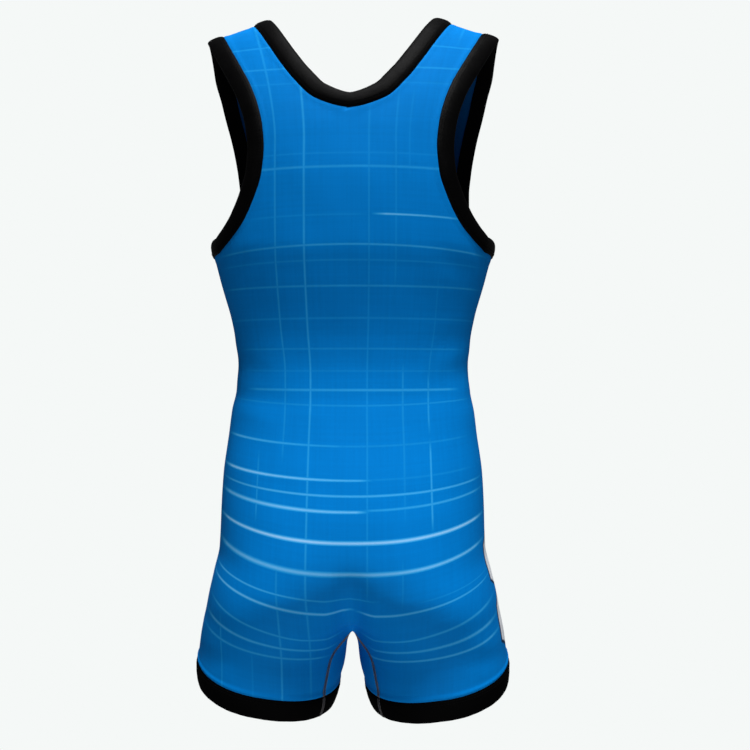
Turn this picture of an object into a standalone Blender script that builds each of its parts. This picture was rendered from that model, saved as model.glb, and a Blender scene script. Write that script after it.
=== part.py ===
"""A wrestling singlet, hollow, in the shape it has when it is worn.

Run it with: blender --background --python part.py

Frame: +Z up, the front faces -Y, the wearer's left is +X. The origin lies midway between the two
shoulder straps, on the line over the shoulders. Named sizes are in millimetres; meshes are in metres.

The cloth follows one general figure. Every height has a section made of two rounded lobes, left and
right: they coincide in the torso, drift apart over the seat, and are two legs below the crotch. A point
of the cloth is named by (turn, level): turn goes round a lobe, 0 at the side seam, positive over the
back and negative over the front, and level is the height, or, over the shoulders, the way up the roll.
"""

import math

import bpy
import numpy as np

MM = 0.001

# Cloth and trims
CLOTH = 1.4
SEAM_GAP = 0.8  # at the middle of the cloth, whose faces lean together at curved seams
CROTCH_GAP = 2.6  # the same, where the inseams meet
CROTCH_REACH = 16.0
TUCK = 4.0
SLOT_DEPTH = 5.0
SLOT_HALF = 1.5
LIP = 2.55
CROWN = 3.4
FOLD = 1.0
BINDING_WIDTH = 19.5
UNDERARM_WIDTH = 16.5
UNDERARM_REACH = 35.0
CENTRE_BACK_WIDTH = 16.0
CENTRE_BACK_REACH = 50.0
BAND_WIDTH = 26.0
BAND_CROWN = 2.6
BAND_TUCK = 4.0  # how far its lower edge is drawn in

# Shoulders: the height of the line over them, by the distance from the centre.
RIDGE = ((0, 16.0), (90, 11.5), (105, 8.5), (116, 5.2), (154, -5.6), (185, -16.0))
ROLL_BOTTOM = -150.0
ROLL_LENGTH = 180.0
ROLL_TOP = ROLL_BOTTOM + ROLL_LENGTH

# Seat and hems
CLEFT = 12.0
ROUNDNESS = 0.92
SHOULDER_ROW_END = 0.58
SEAT_LEVEL = -655.0
SIDE_AT_SEAT = -640.0
SIDE_AT_CROTCH = -688.0
WAIST_TOP = -290.0
CHEST_SAG = 16.0  # how far the row from the underarm to the centre hangs under a straight line
UNDERARM = -270.0
HEM = -749.0
HEM_TILT = 0.19
HEM_DROP = 2.0  # how much further it drops at the inner thigh

# The general figure: the half width, how far each lobe's middle is from the centre, and the depths.
FIGURE_COLUMNS = ("level", "half_width", "lobe", "back", "front")
FIGURE = (
    (30, 178, 0, 88, 96),
    (-60, 177, 0, 95, 99),
    (-120, 173, 0, 103, 104),
    (-200, 166, 0, 110, 111),
    (-258, 163.5, 0, 108, 109),
    (-293, 155.8, 0, 102, 105),
    (-341, 142.2, 0, 92, 99),
    (-365, 138, 0, 88, 97),
    (-395, 135.4, 0, 86, 96.5),
    (-424, 137.4, 0, 88, 98),
    (-448, 142.1, 0, 93, 99.5),
    (-472, 145, 0, 99, 101),
    (-519, 151.5, 0, 113, 103),
    (-560, 153.4, 12, 122, 102),
    (-602, 154.4, 35, 126, 99),
    (-630, 160.5, 57, 124, 96),
    (-655, 166.5, 75, 117, 93),
    (-675, 170.5, 83.5, 108, 91),
    (-690, 174, 91, 101, 90),
    (-716, 178.5, 96, 93, 89),
    (-745, 181.8, 98.9, 90, 88),
    (-769, 183.5, 102, 88, 87),
    (-790, 184.5, 103, 87, 86),
)

# Where the inseam runs, behind the inner thigh: how far below the crotch, and its turn.
INSEAM = ((0, 180.0), (2, 160.0), (6, 150.5), (14, 145.8), (30, 143.6), (70, 147.0))

# Seam lines between the panels and their bindings, from the shoulder down: (x, height).
BACK_NECK = ((116, 5.2), (103, -16), (90, -38), (76.5, -60), (60.5, -83), (36, -107.5), (0, -118.5))
FRONT_NECK = ((116, 5.2), (108, -30), (99, -64), (85, -100), (64, -130), (34, -148), (0, -154))
BACK_ARM = (
    (154, -5.6), (137, -37), (121, -66), (111, -85), (100, -114), (95, -136), (93, -158),
    (95.5, -186), (103, -209), (117, -236), (134, -254.5), (148, -265.5),
)
FRONT_ARM = (
    (154, -5.6), (153.5, -38), (149, -62), (145, -84), (140, -106), (135.5, -130),
    (132, -155), (130, -180), (130.5, -205), (135, -229), (144, -250), (154, -265),
)

# Rows of each panel between its key lines: neck, chest, waist, seat, leg.
ROWS = (8, 7, 15, 5, 4)
NECK_ROW = ROWS[0]
ARM_ROW = ROWS[0] + ROWS[1]
LEG_ROW = sum(ROWS[:-1])
COLUMNS = 10

BACK, FRONT = 1, -1
BLUE = (0.0, 0.17, 0.58, 1.0)
BLACK = (0.008, 0.008, 0.009, 1.0)


def curve_through(stations, values, at):
    """A smooth curve through the values that doesn't overshoot them, read at the places asked for."""
    x = np.asarray(stations, float)
    y = np.asarray(values, float)
    if x[0] > x[-1]:
        x, y = x[::-1], y[::-1]
    step = np.diff(x)
    slope = np.diff(y) / step
    before, after = slope[:-1], slope[1:]
    total = np.where(before * after > 0, before + after, 1.0)
    tangent = np.concatenate(
        [slope[:1], np.where(before * after > 0, 2 * before * after / total, 0.0), slope[-1:]]
    )
    at = np.clip(np.asarray(at, float), x[0], x[-1])
    i = np.clip(np.searchsorted(x, at, side="right") - 1, 0, len(step) - 1)
    u = (at - x[i]) / step[i]
    rise = y[i + 1] - y[i]
    start = tangent[i] * step[i]
    end = tangent[i + 1] * step[i]
    return y[i] + u * (start + u * ((3 * rise - 2 * start - end) + u * (start + end - 2 * rise)))


def ridge(x):
    """Height of the line over the shoulder."""
    return curve_through(*zip(*RIDGE), x)


def figure(column, level):
    table = np.array(FIGURE, float)
    return curve_through(table[:, 0], table[:, FIGURE_COLUMNS.index(column)], level)


def lobe(level):
    """Middle and half width of the right-hand lobe, in the widened x that the cleft is measured in."""
    outer = np.hypot(figure("half_width", level), CLEFT)
    middle = figure("lobe", level)
    return middle, outer - middle


def rounded(value):
    return np.sign(value) * np.abs(value) ** ROUNDNESS


def unrounded(value):
    value = np.clip(value, -1, 1)
    return np.sign(value) * np.abs(value) ** (1 / ROUNDNESS)


def place(turn, level):
    """The point of the figure's surface, in millimetres, at these turns and levels."""
    turn, level = np.broadcast_arrays(np.asarray(turn, float), np.asarray(level, float))
    middle, half = lobe(level)
    wide = middle + half * rounded(np.cos(turn))
    x = np.sqrt(np.maximum(wide**2 - CLEFT**2, 0))
    sine = rounded(np.sin(turn))
    y = sine * np.where(sine > 0, figure("back", level), figure("front", level))
    roll = np.clip((level - ROLL_BOTTOM) / ROLL_LENGTH, 0, 1) * math.pi / 2
    z = np.where(level > ROLL_BOTTOM, ROLL_BOTTOM + (ridge(x) - ROLL_BOTTOM) * np.sin(roll), level)
    return np.stack([x, y * np.cos(roll), z], axis=-1)


def locate(x, z, side):
    """(turn, level) of the point of the back or the front at this x and height."""
    rise = np.clip((z - ROLL_BOTTOM) / (ridge(x) - ROLL_BOTTOM), 0, 1)
    level = np.where(z > ROLL_BOTTOM, ROLL_BOTTOM + ROLL_LENGTH * np.arcsin(rise) * 2 / math.pi, z)
    middle, half = lobe(level)
    turn = np.arccos(unrounded((np.hypot(x, CLEFT) - middle) / half))
    return np.stack([side * turn, level], axis=-1)


def outward(turn, level):
    """Unit normals of the figure's surface."""
    nudge_turn, nudge_level = 0.01, 0.5
    level = np.minimum(level, ROLL_TOP - nudge_level)
    round_it = place(turn + nudge_turn, level) - place(turn - nudge_turn, level)
    up = place(turn, level + nudge_level) - place(turn, level - nudge_level)
    return unit(np.cross(round_it, up))


def unit(vectors):
    return vectors / np.linalg.norm(vectors, axis=-1, keepdims=True)


def crotch_level():
    """The height at which the two lobes part."""
    low, high = SEAT_LEVEL - 100, SEAT_LEVEL
    for _ in range(50):
        level = (low + high) / 2
        middle, half = lobe(level)
        if middle - half > CLEFT:
            low = level
        else:
            high = level
    return high


CROTCH = crotch_level()


def evenly(spots, shares):
    """Points at these shares of a line's length; the line is a list of (turn, level)."""
    length = np.concatenate(
        [[0], np.cumsum(np.linalg.norm(np.diff(place(*spots.T), axis=0), axis=1))]
    )
    shares = np.asarray(shares) * length[-1]
    return np.stack([np.interp(shares, length, column) for column in spots.T], axis=-1)


def seam_line(points, side, closing=()):
    """A seam given by (x, height) points, as many (turn, level) spots; closing adds its last ones."""
    x, z = np.array(points, float).T
    length = np.concatenate([[0], np.cumsum(np.hypot(np.diff(x), np.diff(z)))])
    if not closing:
        # The line goes on as its own mirror image, so that it crosses the centre level.
        length = np.append(length, 2 * length[-1] - length[-2])
        x = np.append(x, -x[-2])
        z = np.append(z, z[-2])
    end = length[-2] if not closing else length[-1]
    at = np.linspace(0, end, 200)
    spots = locate(np.abs(curve_through(length, x, at)), curve_through(length, z, at), side)
    return np.concatenate([spots, np.reshape(closing, (-1, 2))])


def centre_turn(level, side):
    """Turn at which the back or the front crosses the centre of the body."""
    middle, half = lobe(level)
    return side * np.arccos(unrounded((CLEFT - middle) / half))


def centre_line(top, bottom, side):
    level = np.linspace(top, bottom, 200)
    if bottom <= CROTCH:
        level = CROTCH + (top - CROTCH) * np.linspace(1, 0, 200) ** 2
    return np.stack([centre_turn(level, side), level], axis=-1)


def hem_level(turn):
    _, half = lobe(HEM)
    inner = np.maximum(-np.cos(turn), 0)
    return HEM + HEM_TILT * half * np.cos(turn) - HEM_DROP * inner**2


def inseam_line(side):
    table = np.array(INSEAM)
    drop = np.linspace(0, 1, 200)
    turn = np.radians(curve_through(table[:, 0], table[:, 1], drop * (CROTCH - HEM)))
    level = CROTCH + drop * (hem_level(turn[-1]) - CROTCH)
    return np.stack([turn if side == BACK else turn - 2 * math.pi, level], axis=-1)


def side_line(top, bottom):
    level = np.linspace(top, bottom, 50)
    return np.stack([0 * level, level], axis=-1)


def patch(inner, outer, top, bottom):
    """Rows of (turn, level) spots that fill the four-sided field between four lines."""
    down = np.linspace(0, 1, len(inner))[:, None, None]
    across = np.linspace(0, 1, len(top))[None, :, None]
    rows = top[None] * (1 - down) + bottom[None] * down
    rows = rows + (1 - across) * (inner[:, None] - rows[:, :1]) + across * (outer[:, None] - rows[:, -1:])
    return rows


def straight(start, end, count):
    return start + (end - start) * np.linspace(0, 1, count)[:, None]


def panel_spots(side, rows=ROWS, columns=COLUMNS):
    """Half a panel as a grid of (turn, level): from the centre and inseam out, and from the top down."""
    neck, arm = (BACK_NECK, BACK_ARM) if side == BACK else (FRONT_NECK, FRONT_ARM)
    neck_line = seam_line(neck, side)
    arm_line = seam_line(arm, side, closing=((0.0, UNDERARM),))
    share = SHOULDER_ROW_END
    lines = (
        (neck_line, (0, 1), arm_line, (0, share)),
        (centre_line(neck_line[-1][1], WAIST_TOP, side), (0, 1), arm_line, (share, 1)),
        (centre_line(WAIST_TOP, SEAT_LEVEL, side), (0, 1), side_line(UNDERARM, SIDE_AT_SEAT), (0, 1)),
        (centre_line(SEAT_LEVEL, CROTCH, side), (0, 1), side_line(SIDE_AT_SEAT, SIDE_AT_CROTCH), (0, 1)),
        (inseam_line(side), (0, 1), side_line(SIDE_AT_CROTCH, hem_level(0.0)), (0, 1)),
    )
    fields = []
    top = None
    for (inner, inner_span, outer, outer_span), count in zip(lines, rows):
        inner = evenly(inner, np.linspace(*inner_span, count + 1))
        outer = evenly(outer, np.linspace(*outer_span, count + 1))
        if top is None:
            top = straight(inner[0], outer[0], columns + 1)
        bottom = straight(inner[-1], outer[-1], columns + 1)
        if len(fields) == 1:
            bottom[:, 1] -= CHEST_SAG * np.sin(np.linspace(0, math.pi, columns + 1))
        if inner[-1][1] < CROTCH - 1:
            bottom[:, 1] = hem_level(bottom[:, 0])
        fields.append(patch(inner, outer, top, bottom))
        top = bottom
    return np.concatenate([fields[0]] + [field[1:] for field in fields[1:]])


def mirrored(points):
    return points * np.array([-1, 1, 1])


def with_hand(spots, hand):
    """The spots as (turn, level, hand), where hand is -1 on the wearer's right."""
    return np.column_stack([spots, np.full(len(spots), hand)])


def neck_spots(back, front):
    """The neck seam, once round: left back, right back, right front, left front."""
    left_back = back[: NECK_ROW + 1, 0]
    left_front = front[: NECK_ROW + 1, 0]
    return np.concatenate(
        [
            with_hand(left_back, 1),
            with_hand(left_back[-2::-1], -1),
            with_hand(left_front[1:], -1),
            with_hand(left_front[-2:0:-1], 1),
        ]
    )


def arm_spots(back, front):
    """The left armhole's seam, once round: down the back and up the front."""
    return with_hand(np.concatenate([back[: ARM_ROW + 1, -1], front[ARM_ROW - 1 : 0 : -1, -1]]), 1)


def hem_spots(back, front):
    """The left hem, once round from the inseam: over the back to the side, then over the front."""
    return with_hand(np.concatenate([back[-1], front[-1][-2:0:-1]]), 1)


def trim_frame(spots, inside):
    """Seam points, directions across the trim and normals, at each spot of a closed seam.

    The trim lies on the side of the seam that inside points to."""
    hand = np.where(spots[:, 2:3] < 0, [-1, 1, 1], [1, 1, 1])
    seam = place(spots[:, 0], spots[:, 1]) * hand
    normal = outward(spots[:, 0], spots[:, 1]) * hand
    ahead = unit(np.roll(seam, -1, axis=0) - seam)
    behind = unit(seam - np.roll(seam, 1, axis=0))
    across = unit(np.cross(ahead + behind, normal))
    if (across @ np.array(inside, float)).sum() < 0:
        across = -across
    return seam, across, normal


def neck_widths(seam):
    """The binding narrows to a shallow mitre at centre back."""
    near = np.clip(1 - np.abs(seam[:, 0]) / CENTRE_BACK_REACH, 0, 1) * (seam[:, 1] > 0)
    return BINDING_WIDTH - (BINDING_WIDTH - CENTRE_BACK_WIDTH) * near


def arm_widths(seam):
    low = np.clip(1 - (seam[:, 2] - UNDERARM) / UNDERARM_REACH, 0, 1)
    return BINDING_WIDTH - (BINDING_WIDTH - UNDERARM_WIDTH) * low


def trim_profile(crown, tuck):
    """Section of a folded trim with a slot for the cloth's edge: (share of width, depth, height).

    A point lies share * width + depth across the trim, and height off the middle of the cloth."""
    return (
        (0.0, 0.0, LIP),
        (0.5, 0.0, crown - tuck / 4),
        (1.0, 0.0, FOLD - tuck),
        (1.0, 0.0, -FOLD - tuck),
        (0.0, 0.0, -LIP),
        (0.0, 0.0, -SLOT_HALF),
        (0.0, SLOT_DEPTH, -SLOT_HALF),
        (0.0, SLOT_DEPTH, SLOT_HALF),
        (0.0, 0.0, SLOT_HALF),
    )


def add_object(name, verts, faces, material, parts):
    mesh = bpy.data.meshes.new(name)
    mesh.from_pydata((np.asarray(verts) * MM).tolist(), [], faces)
    mesh.materials.append(material)
    mesh.shade_smooth()
    obj = bpy.data.objects.new(name, mesh)
    parts.objects.link(obj)
    return obj


def add_trim(name, frame, widths, profile, material, parts):
    """A folded strip along a closed seam."""
    seam, across, normal = frame
    lines = [
        seam + across * (share * widths[:, None] + depth) + normal * height
        for share, depth, height in profile
    ]
    verts = np.stack(lines, axis=1).reshape(-1, 3)
    count, sides = len(seam), len(profile)
    faces = []
    for i in range(count):
        here, there = i * sides, (i + 1) % count * sides
        for j in range(sides):
            k = (j + 1) % sides
            faces.append((here + j, here + k, there + k, there + j))
    obj = add_object(name, verts, faces, material, parts)
    if signed_volume(verts, faces) < 0:
        obj.data.flip_normals()
    return obj


def signed_volume(verts, faces):
    a, b, c, d = (verts[[face[k] for face in faces]] for k in range(4))
    return (np.cross(a, b) * c).sum() + (np.cross(a, c) * d).sum()


def open_seams(grid):
    """Draws a panel's sewn edges back by half the gap: shoulder, side and inseam."""
    half_gap = SEAM_GAP / 2
    grid[0] += half_gap * unit(grid[1] - grid[0])
    grid[ARM_ROW:, -1] += half_gap * unit(grid[ARM_ROW:, -2] - grid[ARM_ROW:, -1])
    drop = CROTCH - grid[LEG_ROW:, :1, 2]
    near = np.clip(1 - drop / CROTCH_REACH, 0, 1)
    inseam_gap = half_gap + near * (CROTCH_GAP - SEAM_GAP) / 2
    grid[LEG_ROW:, 0] += inseam_gap * unit(grid[LEG_ROW:, 1] - grid[LEG_ROW:, 0])
    grid[LEG_ROW, 0] += CROTCH_GAP / 2 * unit(grid[LEG_ROW - 1, 0] - grid[LEG_ROW, 0])


def half_of(frame, side, count):
    """The across directions of a closed seam's first panel, or of its second from the shared start."""
    across = frame[1]
    if side == BACK:
        return across[:count]
    return np.concatenate([across[:1], across[: -count : -1]])


def add_panel(name, grid, side, frames, material, parts):
    """A panel from its left half, mirrored, with its edges let into the trims' slots."""
    rows, columns = grid.shape[:2]
    index = np.arange(rows * columns).reshape(rows, columns)
    faces = []
    for r in range(rows - 1):
        for c in range(columns - 1):
            faces.append((index[r, c], index[r, c + 1], index[r + 1, c + 1], index[r + 1, c]))
    verts = [grid.reshape(-1, 3)]
    count = rows * columns
    edges = (("neck", index[: NECK_ROW + 1, 0]), ("arm", index[: ARM_ROW + 1, -1]), ("hem", index[-1]))
    for trim, edge in edges:
        across = half_of(frames[trim], side, len(edge))
        verts.append(verts[0][edge] + TUCK * across)
        for i in range(len(edge) - 1):
            face = (edge[i], count + i, count + i + 1, edge[i + 1])
            faces.append(face if trim == "arm" else face[::-1])
        count += len(edge)
    faces = [tuple(int(v) for v in (face if side == BACK else face[::-1])) for face in faces]
    obj = add_object(name, np.concatenate(verts), faces, material, parts)
    mirror = obj.modifiers.new("other half", "MIRROR")
    mirror.merge_threshold = 0.00002
    thickness = obj.modifiers.new("cloth", "SOLIDIFY")
    thickness.thickness = CLOTH * MM
    thickness.offset = 0
    thickness.use_quality_normals = True
    return obj


def fabric(name, colour, roughness, sheen):
    material = bpy.data.materials.new(name)
    material.use_nodes = True
    shader = material.node_tree.nodes["Principled BSDF"]
    shader.inputs["Base Color"].default_value = colour
    shader.inputs["Roughness"].default_value = roughness
    shader.inputs["Metallic"].default_value = 0.0
    shader.inputs["Sheen Weight"].default_value = sheen
    return material


def clear_scene():
    for obj in list(bpy.data.objects):
        bpy.data.objects.remove(obj, do_unlink=True)


def build():
    clear_scene()
    parts = bpy.data.collections.new("wrestling_singlet")
    bpy.context.scene.collection.children.link(parts)
    blue = fabric("blue stretch knit", BLUE, 0.6, 0.3)
    black = fabric("black binding", BLACK, 0.55, 0.2)

    back, front = panel_spots(BACK), panel_spots(FRONT)
    frames = {
        "neck": trim_frame(neck_spots(back, front), (0, 0, 1)),
        "arm": trim_frame(arm_spots(back, front), (1, 0, 0.5)),
        "hem": trim_frame(hem_spots(back, front), (0, 0, -1)),
    }
    for name, side, spots in (("back_panel", BACK, back), ("front_panel", FRONT, front)):
        grid = place(spots[..., 0], spots[..., 1])
        # The halves meet exactly on the centre plane.
        grid[NECK_ROW : LEG_ROW + 1, 0, 0] = 0.0
        open_seams(grid)
        grid[NECK_ROW : LEG_ROW + 1, 0, 0] = 0.0
        add_panel(name, grid, side, frames, blue, parts)

    binding, band = trim_profile(CROWN, 0.0), trim_profile(BAND_CROWN, BAND_TUCK)
    add_trim("neck_binding", frames["neck"], neck_widths(frames["neck"][0]), binding, black, parts)
    trims = (
        ("armhole_binding", frames["arm"], arm_widths(frames["arm"][0]), binding),
        ("leg_band", frames["hem"], np.full(len(frames["hem"][0]), BAND_WIDTH), band),
    )
    for name, frame, widths, profile in trims:
        add_trim(name + "_left", frame, widths, profile, black, parts)
        add_trim(name + "_right", tuple(map(mirrored, frame)), widths, profile, black, parts)


build()
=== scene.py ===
"""Looks of the wrestling singlet: thin cloth, bindings, leg bands, stitching and print.

The frame is the model's: +Z up, the front faces -Y, the wearer's left is +X. Named sizes are in
millimetres; meshes, lights and the camera are in metres. The cloth follows one general figure,
whose points are named by (turn, level): turn goes round a lobe, 0 at the side seam, positive over
the back and negative over the front, and level is the height, or, over the shoulders, the way up
the roll.
"""

import math

import bpy
import numpy as np
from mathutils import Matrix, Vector

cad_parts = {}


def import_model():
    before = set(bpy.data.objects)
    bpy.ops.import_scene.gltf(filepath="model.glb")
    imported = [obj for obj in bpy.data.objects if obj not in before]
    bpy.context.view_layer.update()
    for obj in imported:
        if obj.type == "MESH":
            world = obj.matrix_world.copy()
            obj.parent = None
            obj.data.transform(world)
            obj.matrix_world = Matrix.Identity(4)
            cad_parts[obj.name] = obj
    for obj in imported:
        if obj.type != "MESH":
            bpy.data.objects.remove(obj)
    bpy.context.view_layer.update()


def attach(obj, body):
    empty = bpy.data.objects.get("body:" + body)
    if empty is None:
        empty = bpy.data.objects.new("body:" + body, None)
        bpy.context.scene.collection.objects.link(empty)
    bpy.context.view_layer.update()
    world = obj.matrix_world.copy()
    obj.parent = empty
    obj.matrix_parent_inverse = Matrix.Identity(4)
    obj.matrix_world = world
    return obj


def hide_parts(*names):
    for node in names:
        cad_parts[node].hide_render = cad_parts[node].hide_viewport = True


MM = 0.001

# Cloth, bindings and bands
CLOTH = 0.9
BINDING_WIDTH = 19.5
UNDERARM_WIDTH = 16.5
UNDERARM_REACH = 35.0
CENTRE_BACK_WIDTH = 16.0
CENTRE_BACK_REACH = 50.0
BAND_WIDTH = 26.0
BINDING_CROWN = 3.2
BAND_CROWN = 2.2
BAND_TUCK = 4.0  # how far its lower edge is drawn in
EVEN_OUT = 14.0  # how far along a trim a turn in its seam is spread

# Shoulders: the height of the line over them, by the distance from the centre.
RIDGE = ((0, 16.0), (90, 11.5), (105, 8.5), (116, 5.2), (154, -5.6), (185, -16.0))
ROLL_BOTTOM = -150.0
ROLL_LENGTH = 180.0
ROLL_TOP = ROLL_BOTTOM + ROLL_LENGTH

# Seat and hems
CLEFT = 12.0
ROUNDNESS = 0.92
SHOULDER_ROW_END = 0.58
SEAT_LEVEL = -655.0
SIDE_AT_SEAT = -640.0
SIDE_AT_CROTCH = -688.0
WAIST_TOP = -290.0
CHEST_SAG = 16.0  # how far the row from the underarm to the centre hangs under a straight line
UNDERARM = -270.0
HEM = -749.0
HEM_TILT = 0.19
HEM_DROP = 2.0  # how much further it drops at the inner thigh

# The general figure: the half width, how far each lobe's middle is from the centre, and the depths.
FIGURE_COLUMNS = ("level", "half_width", "lobe", "back", "front")
FIGURE = (
    (30, 178, 0, 88, 96),
    (-60, 177, 0, 95, 99),
    (-120, 173, 0, 103, 104),
    (-200, 166, 0, 110, 111),
    (-258, 163.5, 0, 108, 109),
    (-293, 155.8, 0, 102, 105),
    (-341, 142.2, 0, 92, 99),
    (-365, 138, 0, 88, 97),
    (-395, 135.4, 0, 86, 96.5),
    (-424, 137.4, 0, 88, 98),
    (-448, 142.1, 0, 93, 99.5),
    (-472, 145, 0, 99, 101),
    (-519, 151.5, 0, 113, 103),
    (-560, 153.4, 12, 122, 102),
    (-602, 154.4, 35, 126, 99),
    (-630, 160.5, 57, 124, 96),
    (-655, 166.5, 75, 117, 93),
    (-675, 170.5, 83.5, 108, 91),
    (-690, 174, 91, 101, 90),
    (-716, 178.5, 96, 93, 89),
    (-745, 181.8, 98.9, 90, 88),
    (-769, 183.5, 102, 88, 87),
    (-790, 184.5, 103, 87, 86),
)

# Where the inseam runs, behind the inner thigh: how far below the crotch, and its turn.
INSEAM = ((0, 180.0), (2, 160.0), (6, 150.5), (14, 145.8), (30, 143.6), (70, 147.0))

# Seam lines between the panels and their bindings, from the shoulder down: (x, height).
BACK_NECK = ((116, 5.2), (103, -16), (90, -38), (76.5, -60), (60.5, -83), (36, -107.5), (0, -118.5))
FRONT_NECK = ((116, 5.2), (108, -30), (99, -64), (85, -100), (64, -130), (34, -148), (0, -154))
BACK_ARM = (
    (154, -5.6), (137, -37), (121, -66), (111, -85), (100, -114), (95, -136), (93, -158),
    (95.5, -186), (103, -209), (117, -236), (134, -254.5), (148, -265.5),
)
FRONT_ARM = (
    (154, -5.6), (153.5, -38), (149, -62), (145, -84), (140, -106), (135.5, -130),
    (132, -155), (130, -180), (130.5, -205), (135, -229), (144, -250), (154, -265),
)

# Rows of each panel between its key lines: neck, chest, waist, seat, leg.
ROWS = (48, 32, 84, 26, 42)
NECK_ROW = ROWS[0]
ARM_ROW = ROWS[0] + ROWS[1]
LEG_ROW = sum(ROWS[:-1])
COLUMNS = 54
LINE_POINTS = 400

BACK, FRONT = 1, -1

# The cloth near its edges: level within CALM of them, rolled over the leg band, swollen beside the
# bindings and nipped in at the seams.
CALM = 14.0
ROLL_HEIGHT, ROLL_FROM_HEM, ROLL_HALF = 1.3, 3.0, 1.7
SWELL_HEIGHT, SWELL_FROM_TRIM, SWELL_HALF = 0.5, 3.5, 3.0
NIP_DEPTH, NIP_HALF, NIP_ENDS = 0.55, 2.2, 9.0
SEAM_RAISED = 0.32  # how far a flat seam's threads lie over the bottom of the nip

# Folds: each a soft valley in the cloth. A point (x, height), the way it runs in degrees from level,
# its length, its width and its depth.
FOLD_COLUMNS = ("x", "z", "angle", "length", "width", "depth")
BACK_FOLDS = (
    (0, -648, 90, 44, 13, 2.2),
    (62, -706, 8, 52, 15, 0.7),
    (-66, -708, -9, 54, 15, 0.7),
    (128, -395, 24, 46, 13, 0.9),
    (-126, -402, -22, 44, 13, 0.9),
    (112, -428, 14, 52, 12, 0.7),
    (-114, -366, -12, 46, 12, 0.6),
    (118, -284, -30, 42, 11, 0.4),
    (-120, -286, 30, 42, 11, 0.4),
    (148, -716, -14, 30, 10, 0.7),
    (-150, -712, 16, 30, 10, 0.7),
)
FRONT_FOLDS = (
    (0, -664, 90, 40, 16, 2.2),
    (70, -668, 34, 62, 14, 1.8),
    (-70, -670, -34, 62, 14, 1.8),
    (96, -634, 38, 58, 13, 1.1),
    (-98, -636, -38, 58, 13, 1.1),
    (110, -402, 14, 52, 13, 0.9),
    (-112, -396, -14, 52, 13, 0.9),
    (70, -436, 8, 60, 12, 0.6),
    (-64, -368, -6, 60, 12, 0.6),
    (122, -276, -34, 44, 11, 0.8),
    (-124, -278, 34, 44, 11, 0.8),
)

# The print. Its flat layout leaves the body's own curve: how far a level line is lifted at LIFT_AT
# from the centre, by its height at the centre. Below STRAIGHT_BELOW it is lifted in a straight run.
LIFT_AT = 140.0
LIFT = (
    (-38, 5.5), (-73, 7), (-150, 1), (-232, -3), (-264, -6.5), (-282, -3.4), (-308, -1),
    (-342, -2), (-420, -1.5), (-435, 4.7), (-478, 7.2), (-512, 7.2), (-543, 10.6), (-575, 14),
    (-608, 18), (-636, 20), (-653, 26), (-692, 40.5), (-706, 33.5), (-716, 27.5), (-760, 16),
)
CURVED_ABOVE, STRAIGHT_BELOW = -600.0, -650.0
STRAIGHT_FROM, STRAIGHT_RUN = 26.0, 112.0
# How much narrower than its flat width the print is, by height.
NARROWING = (
    (-280, 1), (-350, 0.955), (-400, 0.895), (-440, 0.89), (-480, 0.905), (-560, 0.915),
    (-620, 0.925), (-660, 0.905), (-740, 0.90),
)
STRAP_FLARE = 0.29
FLARE_BELOW, FLARE_LENGTH = -150.0, 115.0
FADE = 16.0
# No print on the inner thighs: from which turn, within what run, and from how far over the crotch.
PLAIN_TURN, PLAIN_RUN, PLAIN_RISE = math.radians(155), math.radians(14), 6.0
FAR = 1000.0

# Each line: its height or its place across; half its thickness and its strength at the start and at
# the end; and where it starts and ends. Level lines run from the left of the table's panel, as +X.
LINE_COLUMNS = ("place", "half_start", "half_end", "strength_start", "strength_end", "start", "end")
BACK_LEVEL = (
    (-43.4, 1.4, 1.4, 0.18, 0.18, 160, -160),
    (-73, 1.4, 1.4, 0.20, 0.20, 160, -160),
    (-91.5, 1.3, 1.3, 0.08, 0.08, 160, -160),
    (-169, 1.2, 1.2, 0.09, 0.07, 100, -110),
    (-183.3, 1.8, 1.8, 0.26, 0.22, 110, -112),
    (-233.4, 1.3, 1.3, 0.10, 0.10, 112, -20),
    (-232.8, 1.5, 1.4, 0.76, 0.36, -22, -124),
    (-264.3, 1.5, 1.5, 0.26, 0.38, 150, -152),
    (-280.5, 1.3, 1.3, 0.14, 0.13, 150, -150),
    (-307.3, 1.5, 1.5, 0.22, 0.26, 150, -150),
    (-341.2, 1.4, 1.4, 0.15, 0.14, 150, -150),
    (-374, 1.4, 1.4, 0.15, 0.16, 140, -140),
    (-398, 1.3, 1.3, 0.10, 0.10, 140, -140),
    (-418.6, 1.8, 1.8, 0.26, 0.36, 132, -136),
    (-435.3, 1.3, 1.3, 0.12, 0.18, 152, -152),
    (-477.4, 1.8, 1.3, 0.60, 0.14, 158, 0),
    (-477.4, 1.3, 1.3, 0.12, 0.12, 20, -146),
    (-511.6, 2.3, 1.3, 0.88, 0.42, 162, -28),
    (-511.2, 1.2, 1.3, 0.08, 0.10, -16, -150),
    (-527.2, 1.6, 1.6, 0.46, 0.44, 162, -162),
    (-542.8, 3.1, 1.7, 0.66, 0.66, 164, -24),
    (-541.4, 1.5, 1.8, 0.26, 0.46, -10, -164),
    (-573.6, 2.6, 2.6, 0.84, 0.86, 164, -164),
    (-605.4, 3.8, 2.4, 0.60, 0.70, 164, -163),
    (-635.0, 1.7, 1.4, 0.52, 0.14, 168, -36),
    (-642.5, 1.2, 1.2, 0.08, 0.18, -72, -166),
    (-652.6, 2.9, 2.4, 0.62, 0.56, 172, -8),
    (-654.4, 2.4, 1.8, 0.58, 0.36, -4, -170),
    (-693, 1.7, 1.7, 0.34, 0.26, 174, 7),
    (-694, 1.7, 1.7, 0.26, 0.36, -5, -176),
    (-706, 1.6, 1.6, 0.50, 0.30, 182, 12),
    (-707.5, 1.6, 1.6, 0.30, 0.50, -16, -182),
    (-716, 1.5, 1.5, 0.32, 0.30, 184, 24),
    (-717.5, 1.5, 1.5, 0.34, 0.48, -12, -186),
)
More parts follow.
